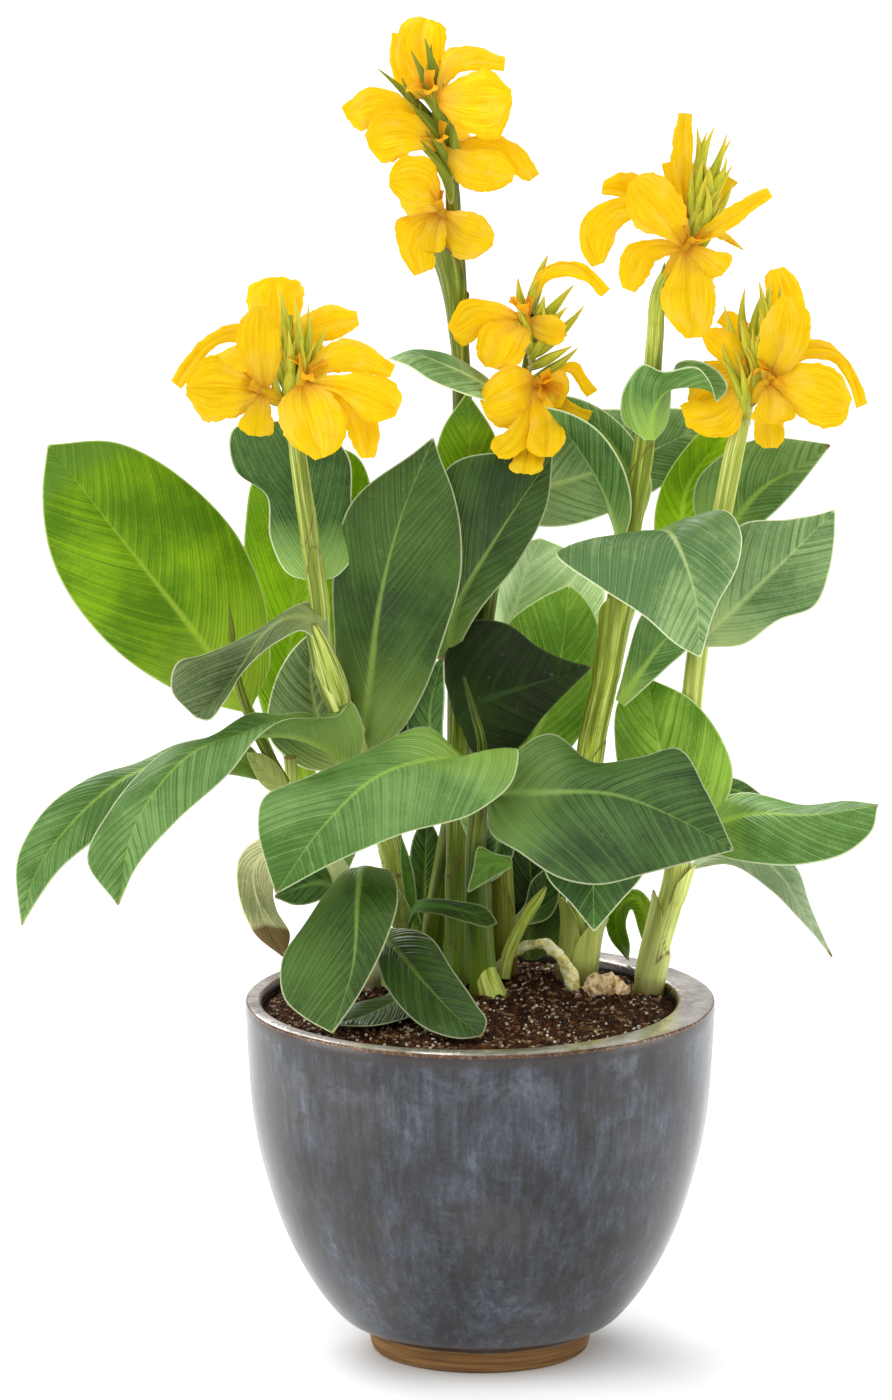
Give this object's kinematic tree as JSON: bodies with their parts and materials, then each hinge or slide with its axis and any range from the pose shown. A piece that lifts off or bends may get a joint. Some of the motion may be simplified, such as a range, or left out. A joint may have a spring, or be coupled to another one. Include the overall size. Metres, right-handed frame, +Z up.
{
  "type": "potted canna lily",
  "caption": "Flowering canna lily with broad leaves and yellow blooms, standing in soil in a round glazed planter.",
  "frame": {"origin": "centre of the foot ring's underside, on the ground on the pot's axis", "axes": "+Z up along the pot's axis, front of the plant towards -Y, +X to the right seen from the front"},
  "size_m": [0.8501, 0.466, 1.3258],
  "materials": {
    "stem": "smooth, pale green, waxy",
    "glazed_stoneware": "slate blue-grey running glaze",
    "rhizome_skin": "matte, tan, rough",
    "potting_soil": "matte, crumbly, dark brown",
    "leaf": "satin, mid to dark green with a pale edge",
    "petal": "soft satin, golden yellow"
  },
  "bodies": {
    "root": {"stem_left": "stem", "stem_tall": "stem", "stem_middle": "stem", "stem_right": "stem", "stem_far_right": "stem", "shoot_front": "stem", "shoot_left": "stem", "shoot_back": "stem", "pot": "glazed_stoneware", "rhizome_arch": "rhizome_skin", "rhizome_right": "rhizome_skin", "soil": "potting_soil", "leaf_left_upright": "leaf", "leaf_left_back": "leaf", "leaf_left_collar": "leaf", "leaf_left_folded": "leaf", "leaf_left_grey": "leaf", "leaf_left_drooping": "leaf", "leaf_far_left_drooping": "leaf", "leaf_centre_upright": "leaf", "leaf_centre_dark": "leaf", "leaf_tall_stem": "leaf", "leaf_middle_arching": "leaf", "leaf_back_level": "leaf", "leaf_right_arching": "leaf", "leaf_right_behind": "leaf", "leaf_right_collar": "leaf", "leaf_right_bright": "leaf", "leaf_far_right_upper": "leaf", "leaf_far_right_wide": "leaf", "leaf_right_hanging": "leaf", "leaf_right_low": "leaf", "leaf_right_bright_low": "leaf", "leaf_front_right": "leaf", "leaf_front_left": "leaf", "leaf_centre_shaded": "leaf", "leaf_back_pale": "leaf", "leaf_middle_upright": "leaf", "leaf_far_right_level": "leaf", "leaf_far_right_thin": "leaf", "leaf_front_hanging": "leaf", "leaf_pot_left": "leaf", "leaf_pot_front": "leaf", "leaf_on_soil": "leaf", "leaf_dried": "leaf", "leaf_small_oval": "leaf", "flower_left_front": "petal", "flower_left_right": "petal", "flower_left_top": "petal", "flower_tall_low": "petal", "flower_tall_middle": "petal", "flower_tall_top": "petal", "flower_middle_top": "petal", "flower_middle_low": "petal", "flower_right_open": "petal", "flower_right_top": "petal", "flower_far_right_open": "petal", "flower_far_right_left": "petal", "flower_far_right_top": "petal"}
  },
  "joints": []
}
